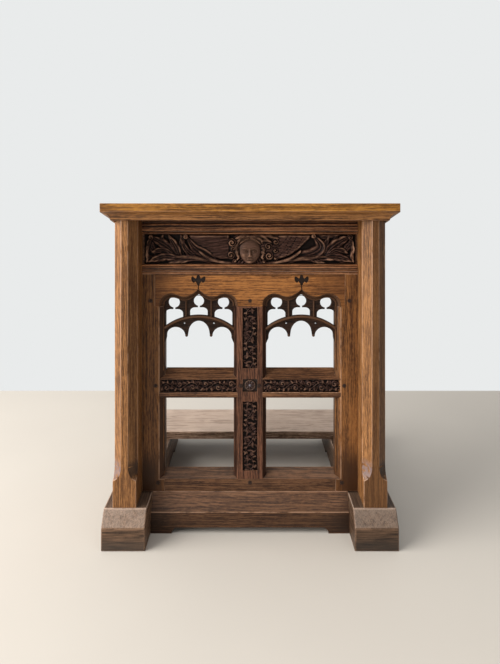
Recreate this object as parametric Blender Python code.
"""Carved oak prie dieu, built piece by piece as a joiner would make it.

The panelled front faces -Y, the kneeling board is at +Y and the floor is at Z = 0.
The origin is on the floor, below the middle of the whole piece. Lengths are in metres.
"""

import math

import bmesh
import bpy
import numpy as np

# Fits
clearance = 0.0003
overrun = 0.002

# Feet
foot_length = 0.580
foot_width = 0.112
foot_height = 0.0945
foot_shift = 0.028
nose_height = 0.057
nose_depth = 0.025
heel_chamfer = 0.012
foot_front_pad = 0.100
foot_rear_pad = 0.090
foot_relief = 0.014

# End standards
cornice_overhang = 0.026
standard_thickness = 0.061
standard_setback = 0.025
standard_base_depth = 0.240
standard_waist_depth = 0.190
standard_top_depth = 0.310
standard_block_height = 0.0695
standard_stop_height = 0.036
standard_chamfer = 0.0215
standard_flare_height = 0.080
standard_bracket_start_drop = 0.4320
standard_bracket_height = 0.170
standard_tenon_thickness = 0.030
standard_tenon_depth = 0.130
standard_tenon_length = 0.064
standard_tenon_inset = 0.035
top_tenon_depth = 0.200
top_tenon_length = 0.010
top_tenon_inset = 0.055

# Sloping desk top with its cornice
desk_width = 0.762
desk_depth = 0.350
desk_height = 0.882
desk_thickness = 0.021
desk_fall = 0.081
cornice_height = 0.0183
cornice_fillet_width = 0.0053
cornice_fillet_height = 0.0028
cornice_edge = 0.0012
ledge_thickness = 0.018
ledge_rise = 0.017
ledge_round = 0.006

# Front frame
frame_setback = 0.092
frame_thickness = 0.035
frame_foot = 0.098
tongue_length = 0.008
tenon_thickness = 0.012
tenon_setback = 0.016

# Lights of the frame, as openings between members
stile_face_width = 0.047
muntin_face = 0.0337
jamb_width = 0.0145
muntin_jamb_width = 0.0107
jamb_depth = 0.0125

# Base rail
base_setback = 0.067
base_face_height = 0.057
base_rail_relief = 0.0165
base_pad_width = 0.056
base_tenon_length = 0.030
base_tenon_thickness = 0.025
base_tenon_setback = 0.018
base_tenon_low = 0.030
base_tenon_high = 0.080

# Bottom rail
bottom_sill_front = 0.1316
bottom_sill_back = 0.147
sill_lip = 0.0006
bottom_tenon_low = 0.104
bottom_tenon_high = 0.132
bottom_tenon_length = 0.036

# Mid rails
mid_low_drop = 0.5320
mid_band_low_drop = 0.5155
mid_band_high_drop = 0.4800
mid_sill_front_drop = 0.4780
mid_sill_back_drop = 0.4580
mid_bead = 0.008
mid_tenon_low_drop = 0.5160
mid_tenon_high_drop = 0.4820
mid_tenon_length = 0.034

# Muntin
muntin_tenon_width = 0.044
muntin_tenon_up = 0.036
muntin_tenon_down = 0.026
strip_width = 0.040
upper_strip_low_drop = 0.4500
upper_strip_high_drop = 0.2855
lower_strip_low = 0.154
lower_strip_high_drop = 0.5400
boss_panel_height = 0.035
carving_sink = 0.005

# Rosette
rosette_drop = 0.4965
rosette_radius = 0.0147
rosette_rise = 0.0055
rosette_spigot_radius = 0.004
rosette_spigot_length = 0.010

# Head rail with the two arches
head_low_drop = 0.2820
head_high_drop = 0.1930
head_shoulder_inset = 0.036
head_tenon_low_drop = 0.2760
head_tenon_high_drop = 0.2060
head_tenon_length = 0.027
arch_spring_drop = 0.2760
arch_lobe_offset_share = 0.6985
arch_lobe_top_drop = 0.2458
arch_dip_offset_share = 0.3619
arch_dip_drop = 0.2545
arch_point_drop = 0.2336
arch_lobe_shift_share = 0.0450
fleur_foot_drop = 0.2340
fleur_height = 0.0366
fleur_width = 0.0380
fleur_sink = 0.003

# Tracery
tracery_setback = 0.0125
tracery_thickness = 0.018
tracery_foot_drop = 0.3700
eye_offset_share = 0.6376
eye_height_drop = 0.2725
eye_radius = 0.0150
mid_eye_height_drop = 0.2690
mid_eye_radius = 0.0138
mid_eye_point_drop = 0.2510
neck_width = 0.0048
lancet_offset_share = 0.6282
lancet_half_width_share = 0.2138
lancet_rise = 0.0155
mid_lancet_rise = 0.0195
lancet_shoulder = 0.0140
lancet_shoulder_width_share = 0.1575
band_apex_drop = 0.3070
band_sagitta = 0.0300
band_width = 0.0085
band_rise = 0.0050
rib_offset_share = 0.3235
rib_width = 0.0060
rib_rise = 0.0030
rib_top_drop = 0.2580
lobe_offset_share = 0.5926
lobe_half_width_share = 0.2457
lobe_top_drop = 0.3405
lobe_spring_drop = 0.3660
mid_lobe_half_width_share = 0.2738
mid_lobe_top_drop = 0.3235
mid_lobe_spring_drop = 0.3590
dot_offset_share = 0.3844
dot_height_drop = 0.3310
dot_radius = 0.0019

# Frieze rail
frieze_high_drop = 0.0440
frieze_field_low_drop = 0.1670
frieze_field_high_drop = 0.0850
frieze_field_margin = 0.005
frieze_sink = 0.012
frieze_tenon_width = 0.024
frieze_tenon_length = 0.022
bead_step = 0.0020
bead_sink = 0.0030
upper_bead_width = 0.0060
upper_flat_low_drop = 0.0770
upper_flat_high_drop = 0.0660
upper_bead_low_drop = 0.0620
lower_flat_low_drop = 0.1860
lower_flat_high_drop = 0.1770
lower_bead_width = 0.0055

# Book shelf under the desk
shelf_height_drop = 0.2320
shelf_thickness = 0.018
shelf_depth = 0.198

# Kneeling board
kneeler_side_margin = 0.009
kneeler_depth = 0.173
kneeler_thickness = 0.027
kneeler_rear_margin = 0.017
kneeler_round = 0.007

# Pegs, plugs and screws
peg_radius = 0.0040
peg_length = 0.031
peg_proud = 0.0006
peg_chamfer = 0.0008
peg_sides = 12
foot_peg_radius = 0.0045
foot_peg_length = 0.076
foot_peg_height = 0.062
foot_peg_pitch = 0.070
plug_radius = 0.0070
plug_length = 0.008
screw_head_radius = 0.0048
screw_head_height = 0.0035
screw_radius = 0.0025
screw_length = 0.050
screw_pitch = 0.103
screw_first = 0.035
head_peg_inset = 0.012
head_peg_drop = 0.266
mid_peg_inset = 0.0095
mid_peg_drop = 0.497
muntin_mid_peg_offset = 0.0245
muntin_foot_peg_height = 0.122
bottom_peg_inset = 0.0027
bottom_peg_height = 0.1215

# Carving, coarse
relief_skirt = 0.0008
frieze_cell = 0.0068
strip_cell = 0.0052
relief_least = 0.0005
head_relief = 0.0150
wing_relief = 0.0045
leaf_relief = 0.0110
vine_relief = 0.0045
curl_relief = 0.0110

# Counts of steps in curves
arc_steps = 6
eye_sides = 20
lobe_steps = 10
leaf_steps = 15
dot_sides = 6
vine_turns = 2.5
ogee_power = 1.8

# Where things come, from the sizes above
front = -foot_length / 2
back = foot_length / 2
standard_inner = desk_width / 2 - cornice_overhang - standard_thickness
standard_outer = standard_inner + standard_thickness
foot_centre = standard_inner + foot_shift
foot_inner = foot_centre - foot_width / 2
foot_outer = foot_centre + foot_width / 2
standard_front = front + standard_setback
frame_front = front + frame_setback
frame_back = frame_front + frame_thickness
tenon_front = frame_front + tenon_setback
tenon_back = tenon_front + tenon_thickness
light_outer = standard_inner - stile_face_width
head_shoulder = standard_inner - head_shoulder_inset
jamb_edge = light_outer - jamb_width
muntin_edge = muntin_face + muntin_jamb_width
light_centre = (light_outer + muntin_face) / 2
light_half = (light_outer - muntin_face) / 2
tracery_front = frame_front + tracery_setback
tracery_back = tracery_front + tracery_thickness
fall_rate = desk_fall / desk_depth
frieze_field_width = 2 * (standard_inner - frieze_field_margin)
kneeler_width = desk_width - 2 * kneeler_side_margin

# Heights in the upper part of the frame, which follows the desk
standard_bracket_start = desk_height - standard_bracket_start_drop
mid_low = desk_height - mid_low_drop
mid_band_low = desk_height - mid_band_low_drop
mid_band_high = desk_height - mid_band_high_drop
mid_sill_front = desk_height - mid_sill_front_drop
mid_sill_back = desk_height - mid_sill_back_drop
mid_tenon_low = desk_height - mid_tenon_low_drop
mid_tenon_high = desk_height - mid_tenon_high_drop
upper_strip_low = desk_height - upper_strip_low_drop
upper_strip_high = desk_height - upper_strip_high_drop
lower_strip_high = desk_height - lower_strip_high_drop
head_low = desk_height - head_low_drop
head_high = desk_height - head_high_drop
head_tenon_low = desk_height - head_tenon_low_drop
head_tenon_high = desk_height - head_tenon_high_drop
arch_spring = desk_height - arch_spring_drop
arch_lobe_top = desk_height - arch_lobe_top_drop
arch_dip = desk_height - arch_dip_drop
arch_point = desk_height - arch_point_drop
fleur_foot = desk_height - fleur_foot_drop
tracery_foot = desk_height - tracery_foot_drop
eye_height = desk_height - eye_height_drop
mid_eye_height = desk_height - mid_eye_height_drop
mid_eye_point = desk_height - mid_eye_point_drop
band_apex = desk_height - band_apex_drop
lancet_top = band_apex + lancet_rise
mid_lancet_top = band_apex + mid_lancet_rise
rib_top = desk_height - rib_top_drop
lobe_top = desk_height - lobe_top_drop
lobe_spring = desk_height - lobe_spring_drop
mid_lobe_top = desk_height - mid_lobe_top_drop
mid_lobe_spring = desk_height - mid_lobe_spring_drop
dot_height = desk_height - dot_height_drop
frieze_high = desk_height - frieze_high_drop
frieze_field_low = desk_height - frieze_field_low_drop
frieze_field_high = desk_height - frieze_field_high_drop
upper_flat_low = desk_height - upper_flat_low_drop
upper_flat_high = desk_height - upper_flat_high_drop
upper_bead_low = desk_height - upper_bead_low_drop
lower_flat_low = desk_height - lower_flat_low_drop
lower_flat_high = desk_height - lower_flat_high_drop
shelf_height = desk_height - shelf_height_drop
rosette_height = desk_height - rosette_drop
boss_panel_low = rosette_height - boss_panel_height / 2
boss_panel_high = rosette_height + boss_panel_height / 2
head_peg_place = (head_shoulder + head_peg_inset, desk_height - head_peg_drop)
mid_peg_place = (light_outer + mid_peg_inset, desk_height - mid_peg_drop)
bottom_peg_place = (light_outer + bottom_peg_inset, bottom_peg_height)

# Widths in the arches and the tracery, which follow the lights
arch_lobe_offset = light_half * arch_lobe_offset_share
arch_dip_offset = light_half * arch_dip_offset_share
arch_lobe_shift = light_half * arch_lobe_shift_share
eye_offset = light_half * eye_offset_share
lancet_offset = light_half * lancet_offset_share
lancet_half_width = light_half * lancet_half_width_share
lancet_shoulder_width = light_half * lancet_shoulder_width_share
rib_offset = light_half * rib_offset_share
lobe_offset = light_half * lobe_offset_share
lobe_half_width = light_half * lobe_half_width_share
mid_lobe_half_width = light_half * mid_lobe_half_width_share
dot_offset = light_half * dot_offset_share

sides = (("left", -1), ("right", 1))

# Colours, one for each kind of piece, as linear red, green and blue
honey = (0.220, 0.115, 0.048)
tan = (0.230, 0.130, 0.070)
russet = (0.150, 0.078, 0.036)
umber = (0.095, 0.052, 0.027)
dark = (0.040, 0.022, 0.015)
pale = (0.420, 0.330, 0.265)
steel = (0.300, 0.300, 0.310)


def under_desk(y):
    """Height of the desk board's underside at a place along Y."""
    return desk_height - desk_thickness - (y - front) * fall_rate


def clear_scene():
    for item in list(bpy.data.objects):
        bpy.data.objects.remove(item, do_unlink=True)


def add_mesh(name, points, faces):
    mesh = bpy.data.meshes.new(name)
    mesh.from_pydata([tuple(point) for point in points], [], faces)
    shape = bmesh.new()
    shape.from_mesh(mesh)
    bmesh.ops.recalc_face_normals(shape, faces=shape.faces)
    shape.to_mesh(mesh)
    shape.free()
    piece = bpy.data.objects.new(name, mesh)
    bpy.context.collection.objects.link(piece)
    return piece


def loft(name, rings):
    """Closed skin through rings of equally many points, with flat ends."""
    count = len(rings[0])
    last = (len(rings) - 1) * count
    faces = [tuple(range(count)), tuple(range(last, last + count))]
    for ring in range(len(rings) - 1):
        for step in range(count):
            here = ring * count + step
            beside = ring * count + (step + 1) % count
            faces.append((here, beside, beside + count, here + count))
    return add_mesh(name, [point for ring in rings for point in ring], faces)


def placed(axis, a, b, along):
    """A point from its place in a plane and its place along the axis square to that plane."""
    return {"X": (along, a, b), "Y": (a, along, b), "Z": (a, b, along)}[axis]


def prism(name, axis, outline, low, high):
    rings = [[placed(axis, a, b, along) for a, b in outline] for along in (low, high)]
    return loft(name, rings)


def box(name, x_range, y_range, z_range):
    outline = [(x, y) for x, y in zip((x_range[0], x_range[1], x_range[1], x_range[0]),
                                      (y_range[0], y_range[0], y_range[1], y_range[1]))]
    return prism(name, "Z", outline, z_range[0], z_range[1])


def circle(centre, radius, count):
    turns = [2 * math.pi * step / count for step in range(count)]
    return [(centre[0] + radius * math.cos(turn), centre[1] + radius * math.sin(turn)) for turn in turns]


def arc(centre, radii, start, end, steps):
    """Points on a part of an ellipse, from one angle in degrees to another."""
    points = []
    for step in range(steps + 1):
        turn = math.radians(start + (end - start) * step / steps)
        points.append((centre[0] + radii[0] * math.cos(turn), centre[1] + radii[1] * math.sin(turn)))
    return points


def turned(name, axis, centre, stations, count):
    """Round piece along an axis, from pairs of place along the axis and radius."""
    rings = [[placed(axis, a, b, along) for a, b in circle(centre, radius, count)]
             for along, radius in stations]
    return loft(name, rings)


def combine(piece, tool, operation):
    step = piece.modifiers.new(tool.name, "BOOLEAN")
    step.operation = operation
    step.solver = "EXACT"
    step.object = tool
    tool.hide_render = True
    tool.display_type = "WIRE"


def cut(piece, *tools):
    for tool in tools:
        combine(piece, tool, "DIFFERENCE")


def add(piece, *tools):
    for tool in tools:
        combine(piece, tool, "UNION")


def grown(extent, margin):
    return extent[0] - margin, extent[1] + margin


def mirrored(extent, side):
    """A range along X on one side of the middle, lowest first."""
    low, high = sorted((extent[0] * side, extent[1] * side))
    return low, high


def socket(name, x_range, y_range, z_range):
    """Cutter for the mortise that takes a tenon of this size."""
    return box(name, grown(x_range, clearance), grown(y_range, clearance), grown(z_range, clearance))


def dress(piece, colour, roughness=0.55, metallic=0.0):
    material = bpy.data.materials.new(piece.name)
    material.use_nodes = True
    surface = material.node_tree.nodes["Principled BSDF"]
    surface.inputs["Base Color"].default_value = (*colour, 1)
    surface.inputs["Roughness"].default_value = roughness
    surface.inputs["Metallic"].default_value = metallic
    piece.data.materials.clear()
    piece.data.materials.append(material)


def arris_tool(name, corner, inward, size, levels):
    """Cutter for a chamfer that runs up an arris.

    corner is the arris in plan, inward the two signs that point into the wood, size the chamfer's
    width and depth, and levels pairs of height and share of the full size.
    """
    reach = math.hypot(*size)
    spare = (overrun * size[0] / reach, overrun * size[1] / reach)
    rings = []
    for height, share in levels:
        along = corner[0] + inward[0] * (size[0] * share + spare[0])
        outside = corner[0] - inward[0] * spare[0]
        before = corner[1] - inward[1] * spare[1]
        deep = corner[1] + inward[1] * (size[1] * share + spare[1])
        rings.append([(along, before, height), (outside, deep, height), (outside, before, height)])
    return loft(name, rings)


def jamb_tool(name, face_edge, edge, z_range):
    """Cutter that shapes a rail's end to a chamfered upright.

    face_edge is where the upright's chamfer starts on its face, and edge where its side starts.
    """
    away = 1 if face_edge > edge else -1
    near = face_edge - away * clearance
    inner = edge - away * clearance
    past = face_edge + away * overrun
    slope = (near - inner) / jamb_depth
    outline = [(near + slope * overrun, frame_front - overrun),
               (inner, frame_front + jamb_depth),
               (inner, frame_back + overrun),
               (past + slope * overrun, frame_back + overrun),
               (past + slope * overrun, frame_front - overrun)]
    return prism(name, "Z", outline, z_range[0] - overrun, z_range[1] + overrun)


def curve(points, count):
    """Points on a quadratic curve from the first point to the last, bent towards the middle one."""
    share = np.linspace(0, 1, count)[:, None]
    base, bend, tip = (np.array(point) for point in points)
    return base * (1 - share) ** 2 + 2 * bend * share * (1 - share) + tip * share ** 2


def leaf(field_x, field_z, points, width, height):
    """Rounded leaf along a curve, full in its middle and narrow at both ends."""
    spine = curve(points, leaf_steps)
    rise = np.zeros_like(field_x)
    for step, (x, z) in enumerate(spine):
        share = step / (len(spine) - 1)
        half = width * (leaf_stalk_share + (1 - leaf_stalk_share) * math.sin(math.pi * share))
        near = ((field_x - x) ** 2 + (field_z - z) ** 2) / half ** 2
        rise = np.maximum(rise, height * np.sqrt(np.clip(1 - near, 0, 1)))
    return rise


def dome(field_x, field_z, centre, radii, height):
    near = ((field_x - centre[0]) / radii[0]) ** 2 + ((field_z - centre[1]) / radii[1]) ** 2
    return height * np.sqrt(np.clip(1 - near, 0, 1))


def relief(name, x_range, z_range, ground, cell, rise):
    """Block with a carved front, from the ground's place along Y and a function for its height."""
    columns = max(4, round((x_range[1] - x_range[0]) / cell))
    rows = max(4, round((z_range[1] - z_range[0]) / cell))
    x_line = np.linspace(*x_range, columns + 1)
    z_line = np.linspace(*z_range, rows + 1)
    field_x, field_z = np.meshgrid(x_line, z_line)
    height = np.maximum(rise(field_x, field_z), relief_least)
    height[0, :] = relief_least
    height[-1, :] = relief_least
    height[:, 0] = relief_least
    height[:, -1] = relief_least
    points = [(x, ground - h, z) for x, z, h in zip(field_x.flat, field_z.flat, height.flat)]
    across = columns + 1
    faces = []
    for row in range(rows):
        for column in range(columns):
            here = row * across + column
            faces.append((here, here + 1, here + across))
            faces.append((here + 1, here + across + 1, here + across))
    rim = list(range(across))
    rim += [row * across + columns for row in range(1, rows + 1)]
    rim += [rows * across + column for column in range(columns - 1, -1, -1)]
    rim += [row * across for row in range(rows - 1, 0, -1)]
    first = len(points)
    points += [(points[index][0], ground + overrun, points[index][2]) for index in rim]
    for step, index in enumerate(rim):
        beside = (step + 1) % len(rim)
        faces.append((index, rim[beside], first + beside, first + step))
    faces.append(tuple(range(first, first + len(rim))))
    return add_mesh(name, points, faces)


# The frieze's right half as shares of half the field's width and of its height:
# base, bend and tip of each leaf, then its half width as a share of the height.
frieze_leaf_shares = (
    ((0.08, 0.10), (0.34, 0.00), (0.50, 0.34), 0.10),
    ((0.42, 0.20), (0.56, 0.30), (0.74, 0.22), 0.11),
    ((0.47, 0.24), (0.68, 0.36), (0.60, 0.93), 0.24),
    ((0.68, 0.28), (0.70, 0.60), (0.76, 0.90), 0.17),
    ((0.72, 0.30), (0.80, 0.82), (0.96, 0.82), 0.24),
    ((0.72, 0.26), (0.82, 0.44), (0.93, 0.36), 0.15),
    ((0.70, 0.18), (0.84, 0.22), (0.96, 0.08), 0.13),
)
frieze_curl_shares = ((0.085, 0.78, 0.14), (0.100, 0.36, 0.17), (0.150, 0.10, 0.11), (0.045, 0.90, 0.13))
frieze_wing_share = ((0.33, 0.66), (0.24, 0.46))
frieze_head_share = (0.072, 0.46)
leaf_stalk_share = 0.35


def frieze_rise(field_x, field_z):
    half = frieze_field_width / 2
    tall = frieze_field_high - frieze_field_low
    across = np.abs(field_x)
    rise = np.zeros_like(field_x)
    wing_centre, wing_radii = frieze_wing_share
    centre = (wing_centre[0] * half, frieze_field_low + wing_centre[1] * tall)
    radii = (wing_radii[0] * half, wing_radii[1] * tall)
    rise = np.maximum(rise, dome(across, field_z, centre, radii, wing_relief))
    for base, bend, tip, width in frieze_leaf_shares:
        points = [(u * half, frieze_field_low + v * tall) for u, v in (base, bend, tip)]
        rise = np.maximum(rise, leaf(across, field_z, points, width * tall, leaf_relief))
    for u, v, width in frieze_curl_shares:
        centre = (u * half, frieze_field_low + v * tall)
        radii = (width * tall, width * tall)
        rise = np.maximum(rise, dome(across, field_z, centre, radii, curl_relief))
    radii = (frieze_head_share[0] * half, frieze_head_share[1] * tall)
    centre = (0, frieze_field_low + tall / 2)
    return np.maximum(rise, dome(across, field_z, centre, radii, head_relief))


# Shape of the vine, as shares of half its band: how far the stem swings, the stem's half width,
# and how fast a leaf narrows away from the middle of its bend.
vine_swing_share = 0.55
vine_stem_share = 0.28
vine_leaf_share = 1.6


def vine_rise(start, end, middle, half_band, turns, upright):
    """Height function of a wavy vine with a round leaf in each bend, along a strip."""
    def rise(field_x, field_z):
        along = (field_z if upright else field_x) - start
        across = (field_x if upright else field_z) - middle
        wave = 2 * math.pi * turns * along / (end - start)
        swing = vine_swing_share * np.sin(wave)
        place = across / half_band
        stem = vine_relief * np.clip(1 - ((place - swing) / vine_stem_share) ** 2, 0, 1)
        leaves = np.clip(-np.cos(wave * 2) - np.abs(place + swing) * vine_leaf_share, 0, 1)
        return np.maximum(stem, vine_relief * np.sqrt(leaves))
    return rise


def build_feet():
    """Sledge feet with sloping noses, hollowed underneath between two pads."""
    feet = {}
    lift = foot_relief
    outline = [(front, 0), (front, nose_height), (front + nose_depth, foot_height),
               (back - heel_chamfer, foot_height), (back, foot_height - heel_chamfer), (back, 0)]
    outline += arc((back - foot_rear_pad - lift, 0), (lift, lift), 0, 90, arc_steps)
    outline += arc((front + foot_front_pad + lift, 0), (lift, lift), 90, 180, arc_steps)
    for word, side in sides:
        x_range = mirrored((foot_inner, foot_outer), side)
        foot = prism(f"{word}_foot", "X", outline, *x_range)
        dress(foot, tan, 0.6)
        cut(foot, socket(f"cut_{word}_standard_mortise", *standard_tenon(side)))
        cut(foot, socket(f"cut_{word}_base_mortise", *base_tenon(side)))
        feet[side] = foot
    return feet


def standard_tenon(side):
    middle = (standard_inner + standard_outer) / 2
    x_range = mirrored((middle - standard_tenon_thickness / 2, middle + standard_tenon_thickness / 2), side)
    y_low = standard_front + standard_tenon_inset
    return x_range, (y_low, y_low + standard_tenon_depth), (foot_height - standard_tenon_length, foot_height)


def base_tenon(side):
    y_low = front + base_setback + base_tenon_setback
    return (mirrored((foot_inner, foot_inner + base_tenon_length), side),
            (y_low, y_low + base_tenon_thickness), (base_tenon_low, base_tenon_high))


def build_standards():
    """End standards with shaped rear edges, stop chamfers in front and tenons at both ends."""
    low = foot_height + clearance
    block = foot_height + standard_block_height
    stop = block + standard_stop_height
    base_back = standard_front + standard_base_depth
    waist_back = standard_front + standard_waist_depth
    top_back = standard_front + standard_top_depth
    outline = [(standard_front, low), (base_back, low), (base_back, block)]
    flare = (base_back - waist_back, standard_flare_height)
    outline += arc((base_back, block + standard_flare_height), flare, 270, 180, arc_steps)[1:]
    outline += arc((top_back, standard_bracket_start), (top_back - waist_back, standard_bracket_height),
                   180, 90, arc_steps)
    outline += [(top_back, under_desk(top_back) - clearance),
                (standard_front, under_desk(standard_front) - clearance)]
    levels = [(block + standard_stop_height * step / arc_steps,
               math.sqrt(1 - (1 - step / arc_steps) ** 2)) for step in range(arc_steps + 1)]
    levels.append((desk_height, 1))
    standards = {}
    for word, side in sides:
        x_range = mirrored((standard_inner, standard_outer), side)
        standard = prism(f"{word}_standard", "X", outline, *x_range)
        dress(standard, honey)
        tenon_x, tenon_y, tenon_z = standard_tenon(side)
        add(standard, box(f"add_{word}_foot_tenon", tenon_x, tenon_y, (tenon_z[0], low + overrun)))
        add(standard, top_tenon(f"add_{word}_top_tenon", side, 0))
        size = (standard_chamfer, standard_chamfer)
        for edge, inward in ((x_range[0], 1), (x_range[1], -1)):
            name = f"cut_{word}_standard_chamfer_{'a' if inward > 0 else 'b'}"
            cut(standard, arris_tool(name, (edge, standard_front), (inward, 1), size, levels))
        groove = socket(f"cut_{word}_frame_groove",
                        mirrored((standard_inner - overrun, standard_inner + tongue_length), side),
                        (tenon_front, tenon_back), (frame_foot, under_desk(tenon_front) + overrun))
        ends = mirrored((standard_inner - overrun, shelf_end()), side)
        housing = socket(f"cut_{word}_shelf_housing", ends, shelf_range(),
                         (shelf_height, shelf_height + shelf_thickness))
        cut(standard, groove, housing)
        standards[side] = standard
    return standards


def top_tenon(name, side, margin):
    """Stub tenon on a standard's sloping top, or the cutter for its mortise with a margin."""
    middle = (standard_inner + standard_outer) / 2
    half = standard_tenon_thickness / 2 + margin
    y_low = standard_front + top_tenon_inset - margin
    y_high = standard_front + top_tenon_inset + top_tenon_depth + margin
    rise = top_tenon_length + margin
    sink = clearance + overrun
    outline = [(y_low, under_desk(y_low) - sink), (y_high, under_desk(y_high) - sink),
               (y_high, under_desk(y_high) + rise), (y_low, under_desk(y_low) + rise)]
    return prism(name, "X", outline, *mirrored((middle - half, middle + half), side))


def shelf_range():
    y_low = frame_back + clearance
    return y_low, y_low + shelf_depth


def shelf_end():
    return standard_inner + tongue_length - clearance


def sloped(points):
    """Points whose heights are counted from the desk board's underside."""
    return [(x, y, under_desk(y) + down) for x, y, down in points]


def raked(along, up):
    """A point from its place down the desk's slope past its low edge, and square to the slope."""
    long = math.hypot(1, fall_rate)
    y = front + desk_depth + (along + up * fall_rate) / long
    z = desk_height - desk_fall + (up - along * fall_rate) / long
    return y, z


def build_desk_top():
    """Sloping board, plumb at its high edge and square to its slope at its low edge."""
    half = desk_width / 2
    outline = [(front, under_desk(front)), raked(0, -desk_thickness / math.hypot(1, fall_rate)),
               raked(0, 0), (front, desk_height)]
    top = prism("desk_top", "X", outline, -half, half)
    dress(top, honey, 0.45)
    for word, side in sides:
        cut(top, top_tenon(f"cut_{word}_top_mortise", side, clearance))


def cornice_profile():
    """Coved section as pairs of projection and height below the desk board."""
    cove_width = cornice_overhang - cornice_fillet_width
    cove_height = cornice_height - cornice_fillet_height - cornice_edge
    profile = [(clearance, -clearance), (cornice_overhang, -clearance), (cornice_overhang, -cornice_edge)]
    low = -cornice_edge - cove_height
    cove = arc((cornice_overhang, low), (cove_width, cove_height), 90, 180, arc_steps)
    profile += cove[1:]
    profile += [(cornice_fillet_width, -cornice_height), (clearance, -cornice_height)]
    return profile


def build_cornices():
    """Three mouldings under the desk board, mitred at the front corners and raked with the board."""
    profile = cornice_profile()
    rear = front + desk_depth
    rings = []
    for side in (-1, 1):
        ring = []
        for out, down in profile:
            y = standard_front - out * standard_setback / cornice_overhang
            ring.append((side * (standard_outer + out - clearance), y, down))
        rings.append(sloped(ring))
    dress(loft("front_cornice", rings), russet)
    for word, side in sides:
        near = []
        far = []
        for out, down in profile:
            y = standard_front - out * standard_setback / cornice_overhang
            near.append((side * (standard_outer + out), y + clearance, down))
            far.append((side * (standard_outer + out), rear, down))
        dress(loft(f"{word}_cornice", [sloped(near), sloped(far)]), russet)


def build_ledge():
    """Lip along the desk's low edge that stops a book from sliding off."""
    low = -desk_thickness / math.hypot(1, fall_rate)
    radii = (ledge_round, ledge_round)
    high = ledge_rise - ledge_round
    profile = [(clearance, low), (clearance + ledge_thickness, low)]
    profile += arc((clearance + ledge_thickness - ledge_round, high), radii, 0, 90, arc_steps)
    profile += arc((clearance + ledge_round, high), radii, 90, 180, arc_steps)
    outline = [raked(along, up) for along, up in profile]
    ledge = prism("book_ledge", "X", outline, -desk_width / 2, desk_width / 2)
    dress(ledge, honey, 0.45)


def build_shelf():
    y_low, y_high = shelf_range()
    shelf = box("book_shelf", (-shelf_end(), shelf_end()), (y_low, y_high),
                (shelf_height, shelf_height + shelf_thickness))
    dress(shelf, umber)


def build_base_rail():
    """Plinth rail with a bevelled top, tenoned into both feet."""
    face = front + base_setback
    top = frame_foot - clearance
    outline = [(face, 0), (face, base_face_height), (frame_front, top), (frame_back, top), (frame_back, 0)]
    half = foot_inner - clearance
    rail = prism("base_rail", "X", outline, -half, half)
    dress(rail, umber)
    pad = half - base_pad_width
    lift = base_rail_relief
    arch = [(pad, -overrun), (pad, 0)]
    arch += arc((pad - lift, 0), (lift, lift), 0, 90, arc_steps)[1:]
    arch += [(-x, z) for x, z in reversed(arch)]
    cut(rail, prism("cut_base_relief", "Y", arch, face - overrun, frame_back + overrun))
    for word, side in sides:
        _, y_range, z_range = base_tenon(side)
        x_range = mirrored((half - overrun, foot_inner + base_tenon_length), side)
        add(rail, box(f"add_{word}_base_tenon", x_range, y_range, z_range))


def tenon_box(name, x_range, z_range):
    """Tenon in the middle of the frame's thickness."""
    return box(name, x_range, (tenon_front, tenon_back), z_range)


def tenon_socket(name, x_range, z_range):
    return socket(name, x_range, (tenon_front, tenon_back), z_range)


def peg_tool(name, place):
    """Cutter for a peg hole from the frame's face."""
    radius = peg_radius + clearance
    ends = [(frame_front - overrun, radius), (frame_front + peg_length + clearance, radius)]
    return turned(name, "Y", place, ends, peg_sides)


def build_stiles():
    stiles = {}
    low = frame_foot
    high = head_high
    for word, side in sides:
        edge = standard_inner - clearance
        step = head_low - clearance
        points = [(jamb_edge, low), (edge, low), (edge, high), (head_shoulder, high), (head_shoulder, step),
                  (jamb_edge, step)]
        outline = [(side * x, z) for x, z in points]
        stile = prism(f"{word}_stile", "Y", outline, frame_front, frame_back)
        dress(stile, russet)
        tongue = mirrored((edge - overrun, standard_inner + tongue_length), side)
        add(stile, tenon_box(f"add_{word}_stile_tongue", tongue, (low, high)))
        add(stile, tenon_box(f"add_{word}_stile_tenon", mirrored(frieze_tenon(), side),
                             (high - overrun, high + frieze_tenon_length)))
        levels = [(bottom_sill_front - clearance, 1), (head_low + overrun, 1)]
        cut(stile, arris_tool(f"cut_{word}_jamb_chamfer", (side * jamb_edge, frame_front), (side, 1),
                              (jamb_width, jamb_depth), levels))
        cut(stile, tenon_socket(f"cut_{word}_head_mortise", head_tenon(side),
                                (head_tenon_low, head_tenon_high)))
        cut(stile, tenon_socket(f"cut_{word}_mid_mortise", mid_outer_tenon(side),
                                (mid_tenon_low, mid_tenon_high)))
        cut(stile, tenon_socket(f"cut_{word}_bottom_mortise", bottom_tenon(side),
                                (bottom_tenon_low, bottom_tenon_high)))
        stiles[side] = stile
    return stiles


def frieze_tenon():
    middle = (head_shoulder + standard_inner) / 2
    return middle - frieze_tenon_width / 2, middle + frieze_tenon_width / 2


def head_tenon(side):
    return mirrored((head_shoulder - clearance - overrun, head_shoulder + head_tenon_length), side)


def mid_outer_tenon(side):
    return mirrored((jamb_edge - clearance - overrun, jamb_edge + mid_tenon_length), side)


def mid_inner_tenon(side):
    return mirrored((muntin_edge - mid_tenon_length, muntin_edge + clearance + overrun), side)


def bottom_tenon(side):
    return mirrored((jamb_edge - clearance - overrun, jamb_edge + bottom_tenon_length), side)


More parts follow.
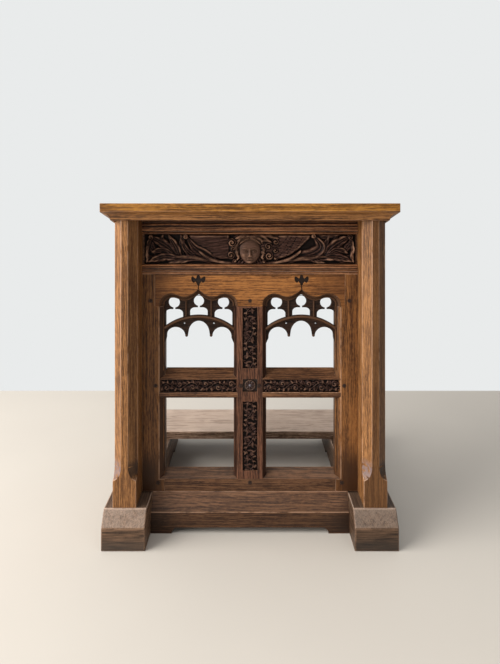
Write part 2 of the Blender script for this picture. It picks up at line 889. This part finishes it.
def bevel_tool(name, x_range, low_front, low_back):
    """Cutter for a sill that slopes up from a rail's face to its back."""
    rate = (low_back - low_front - sill_lip) / frame_thickness
    start = low_front + sill_lip
    outline = [(frame_front - overrun, start - rate * overrun),
               (frame_back + overrun, start + rate * (frame_thickness + overrun)),
               (frame_back + overrun, low_back + frame_thickness),
               (frame_front - overrun, low_back + frame_thickness)]
    return prism(name, "X", outline, *x_range)


def build_bottom_rail():
    low = frame_foot
    inner = jamb_edge - clearance
    wide = light_outer
    seat = muntin_face
    half_points = [(inner, low), (inner, bottom_sill_front), (wide, bottom_sill_front),
                   (wide, bottom_sill_back), (seat, bottom_sill_back), (seat, bottom_sill_front)]
    outline = half_points + [(-x, z) for x, z in reversed(half_points)]
    rail = prism("bottom_rail", "Y", outline, frame_front, frame_back)
    dress(rail, umber)
    for word, side in sides:
        add(rail, tenon_box(f"add_{word}_bottom_tenon", bottom_tenon(side),
                            (bottom_tenon_low, bottom_tenon_high)))
        ends = (bottom_sill_front, bottom_sill_back)
        above = (bottom_sill_front + overrun, bottom_sill_back)
        cut(rail, jamb_tool(f"cut_{word}_bottom_outer_end", side * light_outer, side * jamb_edge, ends))
        cut(rail, jamb_tool(f"cut_{word}_bottom_inner_end", side * muntin_face, side * muntin_edge, above))
        sill = mirrored((seat - clearance, wide + overrun), side)
        cut(rail, bevel_tool(f"cut_{word}_bottom_sill", sill, *ends))
    cut(rail, tenon_socket("cut_muntin_foot_mortise", muntin_tenon(),
                           (bottom_sill_front - muntin_tenon_down, bottom_sill_front + overrun)))
    return rail


def muntin_tenon():
    return -muntin_tenon_width / 2, muntin_tenon_width / 2


def build_muntin():
    outline = [(-muntin_edge, bottom_sill_front + clearance), (muntin_edge, bottom_sill_front + clearance),
               (muntin_edge, head_low - clearance), (-muntin_edge, head_low - clearance)]
    muntin = prism("muntin", "Y", outline, frame_front, frame_back)
    dress(muntin, umber)
    add(muntin, tenon_box("add_muntin_head_tenon", muntin_tenon(),
                          (head_low - clearance - overrun, head_low + muntin_tenon_up)))
    add(muntin, tenon_box("add_muntin_foot_tenon", muntin_tenon(),
                          (bottom_sill_front - muntin_tenon_down, bottom_sill_front + clearance + overrun)))
    levels = [(bottom_sill_front - overrun, 1), (head_low + overrun, 1)]
    for word, side in sides:
        cut(muntin, arris_tool(f"cut_{word}_muntin_chamfer", (side * muntin_edge, frame_front), (-side, 1),
                               (muntin_jamb_width, jamb_depth), levels))
        cut(muntin, tenon_socket(f"cut_{word}_muntin_mortise", mid_inner_tenon(side),
                                 (mid_tenon_low, mid_tenon_high)))
    half = strip_width / 2
    strips = (("upper", upper_strip_low, upper_strip_high), ("lower", lower_strip_low, lower_strip_high))
    ground = frame_front + carving_sink
    for word, low, high in strips:
        cut(muntin, box(f"cut_{word}_strip", (-half, half), (frame_front - overrun, ground), (low, high)))
        rise = vine_rise(low, high, 0, half, vine_turns, True)
        add(muntin, relief(f"add_{word}_strip", grown((-half, half), relief_skirt),
                           grown((low, high), relief_skirt), ground, strip_cell, rise))
    cut(muntin, box("cut_boss_panel", (-half, half), (frame_front - overrun, ground),
                    (boss_panel_low, boss_panel_high)))
    spigot = rosette_spigot_radius + clearance
    ends = [(ground - overrun, spigot), (ground + rosette_spigot_length + clearance, spigot)]
    cut(muntin, turned("cut_boss_hole", "Y", (0, rosette_height), ends, peg_sides))
    return muntin


# Profile of the boss from its back rim to its button, as shares of its rise and of its radius.
rosette_shares = ((0.00, 1.00), (0.35, 1.00), (1.00, 0.82), (1.00, 0.66), (0.50, 0.50), (0.50, 0.29),
                  (1.00, 0.23), (1.25, 0.10))


def build_rosette():
    """Turned boss with a raised ring and a round button, on a spigot."""
    seat = frame_front + carving_sink - clearance
    stations = [(seat + rosette_spigot_length, rosette_spigot_radius), (seat, rosette_spigot_radius)]
    stations += [(seat - rosette_rise * up, rosette_radius * out) for up, out in rosette_shares]
    dress(turned("rosette", "Y", (0, rosette_height), stations, eye_sides), dark)


def build_mid_rails():
    rails = {}
    ground = frame_front + carving_sink
    outline = [(frame_back, mid_low), (frame_back, mid_sill_back), (frame_front, mid_sill_front),
               (frame_front, mid_band_high), (ground, mid_band_high), (ground, mid_band_low),
               (frame_front, mid_band_low)]
    outline += arc((frame_front + mid_bead, mid_low + mid_bead), (mid_bead, mid_bead), 180, 270, arc_steps)
    for word, side in sides:
        x_range = mirrored((muntin_face, light_outer), side)
        rail = prism(f"{word}_mid_rail", "X", outline, *x_range)
        dress(rail, umber)
        band = grown(x_range, -relief_skirt)
        middle = (mid_band_low + mid_band_high) / 2
        rise = vine_rise(band[0], band[1], middle, (mid_band_high - mid_band_low) / 2, vine_turns, False)
        tall = grown((mid_band_low, mid_band_high), relief_skirt / 2)
        add(rail, relief(f"add_{word}_mid_band", band, tall, ground, strip_cell, rise))
        heights = (mid_low, mid_sill_back)
        cut(rail, jamb_tool(f"cut_{word}_mid_outer_end", side * light_outer, side * jamb_edge, heights))
        cut(rail, jamb_tool(f"cut_{word}_mid_inner_end", side * muntin_face, side * muntin_edge, heights))
        for end, x_tenon in (("outer", mid_outer_tenon(side)), ("inner", mid_inner_tenon(side))):
            add(rail, tenon_box(f"add_{word}_mid_{end}_tenon", x_tenon, (mid_tenon_low, mid_tenon_high)))
        rails[side] = rail
    return rails


def arch_side(half, spring, lobe_x, lobe_z, dip_x, dip_z, point_z):
    """Right half of an ogee arch with a round lobe, from its spring to its point."""
    points = arc((lobe_x, spring), (half - lobe_x, lobe_z - spring), 0, 90, arc_steps)
    for step in range(1, arc_steps + 1):
        share = step / arc_steps
        ease = (1 - math.cos(math.pi * share)) / 2
        points.append((lobe_x + (dip_x - lobe_x) * share, lobe_z + (dip_z - lobe_z) * ease))
    for step in range(1, arc_steps + 1):
        share = step / arc_steps
        points.append((dip_x * (1 - share), dip_z + (point_z - dip_z) * share ** ogee_power))
    return points


def arch_outline(inset, legs):
    """Whole arch, drawn in by an inset, with straight legs down to a height."""
    lobe = arch_lobe_offset - arch_lobe_shift * inset / jamb_width
    right = arch_side(light_half - inset, arch_spring, lobe, arch_lobe_top - inset, arch_dip_offset,
                      arch_dip - inset, arch_point - inset)
    right = [(light_half - inset, legs)] + right
    return right + [(-x, z) for x, z in reversed(right[:-1])]


def shifted(outline, offset):
    return [(x + offset, z) for x, z in outline]


# Right half of the fleur-de-lis, as shares of half its width and of its height.
fleur_shares = (
    (0.10, 0.00), (0.10, 0.30), (0.34, 0.24), (0.46, 0.36), (0.40, 0.48), (0.62, 0.30), (0.86, 0.32),
    (1.00, 0.50), (0.96, 0.66), (0.80, 0.74), (0.56, 0.64), (0.34, 0.52), (0.24, 0.60), (0.26, 0.74),
    (0.14, 0.90), (0.00, 1.00),
)


def fleur_outline(centre):
    right = [(u * fleur_width / 2, fleur_foot + v * fleur_height) for u, v in fleur_shares]
    whole = right + [(-x, z) for x, z in reversed(right[:-1])]
    return shifted(whole, centre)


def build_head_rail():
    end = head_shoulder - clearance
    high = head_high - clearance
    outline = [(-end, head_low), (end, head_low), (end, high), (-end, high)]
    rail = prism("head_rail", "Y", outline, frame_front, frame_back)
    dress(rail, honey)
    for word, side in sides:
        centre = side * light_centre
        add(rail, tenon_box(f"add_{word}_head_tenon", head_tenon(side), (head_tenon_low, head_tenon_high)))
        arch = shifted(arch_outline(0, head_low - overrun), centre)
        cut(rail, prism(f"cut_{word}_arch", "Y", arch, frame_front - overrun, frame_back + overrun))
        cut(rail, prism(f"cut_{word}_fleur", "Y", fleur_outline(centre), frame_front - overrun,
                        frame_front + fleur_sink))
    cut(rail, tenon_socket("cut_muntin_head_mortise", muntin_tenon(),
                           (head_low - overrun, head_low + muntin_tenon_up)))
    return rail


def band_height(x):
    """Upper edge of the tracery's segmental arch."""
    half = light_half - jamb_width
    radius = (half ** 2 + band_sagitta ** 2) / (2 * band_sagitta)
    return band_apex - radius + math.sqrt(radius ** 2 - x ** 2)


def light_outline(centre_x):
    """Small outer light of the tracery: shouldered top, and a foot that follows the arch."""
    half = lancet_half_width
    radii = (lancet_shoulder_width, lancet_shoulder)
    low = lancet_top - lancet_shoulder
    feet = []
    for step in range(arc_steps + 1):
        x = centre_x - half + 2 * half * step / arc_steps
        feet.append((x, band_height(x)))
    shoulder = arc((centre_x + half - radii[0], low), radii, 0, 90, arc_steps)
    return feet + shoulder + arc((centre_x - half + radii[0], low), radii, 90, 180, arc_steps)


def mid_light_outline():
    top = mid_lancet_top
    half = lancet_half_width
    outline = [(-half, band_height(half)), (0, band_height(0)), (half, band_height(half))]
    rise = top - band_height(half) - relief_least
    outline += arc((half - lancet_shoulder, top - rise), (lancet_shoulder, rise), 0, 90, arc_steps)
    outline += arc((-half + lancet_shoulder, top - rise), (lancet_shoulder, rise), 90, 180, arc_steps)
    return outline


def lobes_outline():
    """Three-lobed opening under the cusps, open at its foot."""
    low = tracery_foot - overrun
    right = [(lobe_offset + lobe_half_width, low)]
    right += arc((lobe_offset, lobe_spring), (lobe_half_width, lobe_top - lobe_spring), 0, 180, lobe_steps)
    radii = (mid_lobe_half_width, mid_lobe_top - mid_lobe_spring)
    right += arc((0, mid_lobe_spring), radii, 0, 90, lobe_steps // 2)
    return right + [(-x, z) for x, z in reversed(right[:-1])]


def build_traceries():
    """Boards in the arches, pierced by eyes and small lights, with a splayed edge, a band and ribs."""
    eye = arc((0, mid_eye_height), (mid_eye_radius, mid_eye_radius), 120, 420, eye_sides)
    eye.append((0, mid_eye_point))
    half_neck = neck_width / 2
    for word, side in sides:
        centre = side * light_centre
        low_outer = side * (light_outer - light_centre - jamb_width) - side * clearance
        low_inner = -side * (light_centre - muntin_edge) + side * clearance
        left_low, right_low = sorted((low_outer, low_inner))
        arch = arch_outline(clearance, head_low + clearance)
        outline = [(right_low, head_low + clearance)] + arch + [(left_low, head_low + clearance),
                   (left_low, tracery_foot), (right_low, tracery_foot)]
        board = prism(f"{word}_tracery", "Y", shifted(outline, centre), frame_front + relief_skirt,
                      tracery_back)
        dress(board, dark)
        wide = arch_outline(relief_skirt, tracery_foot - overrun)
        narrow = arch_outline(jamb_width - clearance, tracery_foot - overrun)
        rings = []
        for shape, y in ((wide, frame_front), (narrow, tracery_front)):
            rings.append([(x + centre, y, z) for x, z in shape])
        cut(board, loft(f"cut_{word}_splay", rings))
        neck_low = mid_lancet_top - neck_width
        neck = [(-half_neck, neck_low), (half_neck, neck_low), (half_neck, mid_eye_height),
                (-half_neck, mid_eye_height)]
        tools = [("mid_eye", eye), ("mid_light", mid_light_outline()), ("lobes", lobes_outline()),
                 ("mid_neck", neck)]
        for hand, turn in sides:
            tools.append((f"{hand}_eye", circle((turn * eye_offset, eye_height), eye_radius, eye_sides)))
            tools.append((f"{hand}_light", light_outline(turn * lancet_offset)))
            near, far = turn * eye_offset - half_neck, turn * eye_offset + half_neck
            neck_low = lancet_top - neck_width
            tools.append((f"{hand}_neck", [(near, neck_low), (far, neck_low), (far, eye_height),
                                           (near, eye_height)]))
            tools.append((f"{hand}_dot", circle((turn * dot_offset, dot_height), dot_radius, dot_sides)))
        for hand, shape in tools:
            cut(board, prism(f"cut_{word}_{hand}", "Y", shifted(shape, centre), frame_front - overrun,
                             tracery_back + overrun))
        reach = min(right_low, -left_low) - relief_skirt
        across = [reach * (step / lobe_steps * 2 - 1) for step in range(lobe_steps + 1)]
        band = [(x, band_height(x) - clearance) for x in across]
        band += [(x, band_height(x) - band_width) for x in reversed(across)]
        add(board, prism(f"add_{word}_band", "Y", shifted(band, centre), tracery_front - band_rise,
                         tracery_front + overrun))
        for hand, turn in sides:
            near, far = turn * rib_offset - rib_width / 2, turn * rib_offset + rib_width / 2
            rib_foot = band_height(rib_offset) - band_width / 2
            rib = [(near, rib_foot), (far, rib_foot), (far, rib_top), (near, rib_top)]
            add(board, prism(f"add_{word}_{hand}_rib", "Y", shifted(rib, centre), tracery_front - rib_rise,
                             tracery_front + 2 * overrun))


def bead(low, high):
    """Half-round bead on the frieze's face, as points up its section."""
    middle = (low + high) / 2
    return arc((frame_front + bead_sink, middle), (bead_sink, (high - low) / 2), -90, -270, arc_steps)


def build_frieze_rail():
    """Top rail: beads and flats above and below a sunk field with coarse carving."""
    ground = frame_front + frieze_sink
    sunk = frame_front + bead_sink
    outline = [(frame_back, head_high), (frame_front, head_high), (frame_front, lower_flat_low),
               (frame_front + bead_step, lower_flat_low), (frame_front + bead_step, lower_flat_high),
               (frame_front, lower_flat_high), (sunk, frieze_field_low - lower_bead_width)]
    outline += bead(frieze_field_low - lower_bead_width, frieze_field_low)[1:]
    outline += [(ground, frieze_field_low), (ground, frieze_field_high)]
    outline += bead(frieze_field_high, frieze_field_high + upper_bead_width)
    outline += [(sunk, upper_flat_low), (frame_front, upper_flat_low), (frame_front, upper_flat_high),
                (sunk, upper_flat_high)]
    outline += bead(upper_bead_low, upper_bead_low + upper_bead_width)
    outline += [(sunk, min(frieze_high, under_desk(sunk) - clearance)),
                (frame_back, under_desk(frame_back) - clearance)]
    half = standard_inner - clearance
    rail = prism("frieze_rail", "X", outline, -half, half)
    dress(rail, umber)
    tongue_top = under_desk(tenon_back) - clearance
    for word, side in sides:
        tongue = mirrored((half - overrun, standard_inner + tongue_length), side)
        add(rail, tenon_box(f"add_{word}_frieze_tongue", tongue, (head_high + clearance, tongue_top)))
        cut(rail, tenon_socket(f"cut_{word}_frieze_mortise", mirrored(frieze_tenon(), side),
                               (head_high - overrun, head_high + frieze_tenon_length)))
    edge = frieze_field_width / 2
    field = grown((frieze_field_low, frieze_field_high), relief_skirt)
    add(rail, relief("add_frieze_carving", (-edge, edge), field, ground, frieze_cell, frieze_rise))


def build_kneeler():
    y_high = back - kneeler_rear_margin
    y_low = y_high - kneeler_depth
    low = foot_height + clearance
    high = low + kneeler_thickness
    radii = (kneeler_round, kneeler_round)
    outline = [(y_high, low)]
    outline += arc((y_high - kneeler_round, high - kneeler_round), radii, 0, 90, arc_steps)
    outline += arc((y_low + kneeler_round, high - kneeler_round), radii, 90, 180, arc_steps)
    outline += [(y_low, low)]
    board = prism("kneeler_board", "X", outline, -kneeler_width / 2, kneeler_width / 2)
    dress(board, pale, 0.7)
    return board


def add_frame_pegs(stiles, mid_rails, head_rail, bottom_rail, muntin):
    """Pegs that lock the frame's tenons, each with its hole through both members."""
    def peg(name, place, *members):
        face = frame_front - peg_proud
        stations = [(face, peg_radius - peg_chamfer), (face + peg_chamfer, peg_radius),
                    (frame_front + peg_length, peg_radius)]
        dress(turned(name, "Y", place, stations, peg_sides), dark)
        for member in members:
            cut(member, peg_tool(f"cut_{name}_{member.name}", place))

    for word, side in sides:
        peg(f"{word}_head_peg", (side * head_peg_place[0], head_peg_place[1]), stiles[side], head_rail)
        place = (side * mid_peg_place[0], mid_peg_place[1])
        peg(f"{word}_mid_outer_peg", place, stiles[side], mid_rails[side])
        place = (side * muntin_mid_peg_offset, mid_peg_place[1])
        peg(f"{word}_mid_inner_peg", place, muntin, mid_rails[side])
        place = (side * bottom_peg_place[0], bottom_peg_place[1])
        peg(f"{word}_bottom_peg", place, stiles[side], bottom_rail)
    peg("muntin_head_peg", (0, head_peg_place[1]), head_rail, muntin)
    peg("muntin_foot_peg", (0, muntin_foot_peg_height), bottom_rail, muntin)


def add_foot_pegs(feet, standards):
    """Pegs from the outer side of each foot through the standard's tenon."""
    first = standard_front + standard_tenon_inset + (standard_tenon_depth - foot_peg_pitch) / 2
    for word, side in sides:
        for number, y in enumerate((first, first + foot_peg_pitch), 1):
            place = (y, foot_peg_height)
            name = f"{word}_foot_peg_{number}"
            outer = side * (foot_outer + peg_proud)
            inner = side * (foot_outer - foot_peg_length)
            edge = side * (foot_outer + peg_proud - peg_chamfer)
            stations = sorted([(inner, foot_peg_radius), (edge, foot_peg_radius),
                               (outer, foot_peg_radius - peg_chamfer)])
            dress(turned(name, "X", place, stations, peg_sides), dark)
            radius = foot_peg_radius + clearance
            hole = sorted([side * (foot_outer + overrun), inner - side * clearance])
            ends = [(along, radius) for along in hole]
            for member in (feet[side], standards[side]):
                cut(member, turned(f"cut_{name}_{member.name}", "X", place, ends, peg_sides))


def add_kneeler_fixings(kneeler, feet):
    """Screws that hold the kneeling board to the feet, under wooden plugs."""
    top = foot_height + clearance + kneeler_thickness
    seat = top - plug_length
    for word, side in sides:
        for number in (1, 2):
            y = back - kneeler_rear_margin - kneeler_depth + screw_first + (number - 1) * screw_pitch
            place = (side * foot_centre, y)
            plug = turned(f"{word}_kneeler_plug_{number}", "Z", place,
                          [(seat + clearance, plug_radius), (top - clearance, plug_radius)], peg_sides)
            dress(plug, tan, 0.65)
            head_top = seat - clearance
            shank_top = head_top - screw_head_height
            screw = turned(f"{word}_kneeler_screw_{number}", "Z", place,
                           [(head_top, screw_head_radius), (shank_top, screw_radius),
                            (head_top - screw_length, screw_radius)], peg_sides)
            dress(screw, steel, 0.4, 1.0)
            hole = turned(f"cut_{word}_plug_hole_{number}", "Z", place,
                          [(top + overrun, plug_radius + clearance), (seat, plug_radius + clearance),
                           (seat, screw_head_radius + clearance),
                           (shank_top - clearance, screw_radius + clearance),
                           (foot_height - overrun, screw_radius + clearance)], peg_sides)
            cut(kneeler, hole)
            radius = screw_radius + clearance
            ends = [(foot_height + overrun, radius), (head_top - screw_length - clearance, radius)]
            cut(feet[side], turned(f"cut_{word}_screw_hole_{number}", "Z", place, ends, peg_sides))


def main():
    clear_scene()
    feet = build_feet()
    standards = build_standards()
    build_desk_top()
    build_cornices()
    build_ledge()
    build_shelf()
    build_base_rail()
    stiles = build_stiles()
    bottom_rail = build_bottom_rail()
    muntin = build_muntin()
    build_rosette()
    mid_rails = build_mid_rails()
    head_rail = build_head_rail()
    build_traceries()
    build_frieze_rail()
    kneeler = build_kneeler()
    add_frame_pegs(stiles, mid_rails, head_rail, bottom_rail, muntin)
    add_foot_pegs(feet, standards)
    add_kneeler_fixings(kneeler, feet)


main()
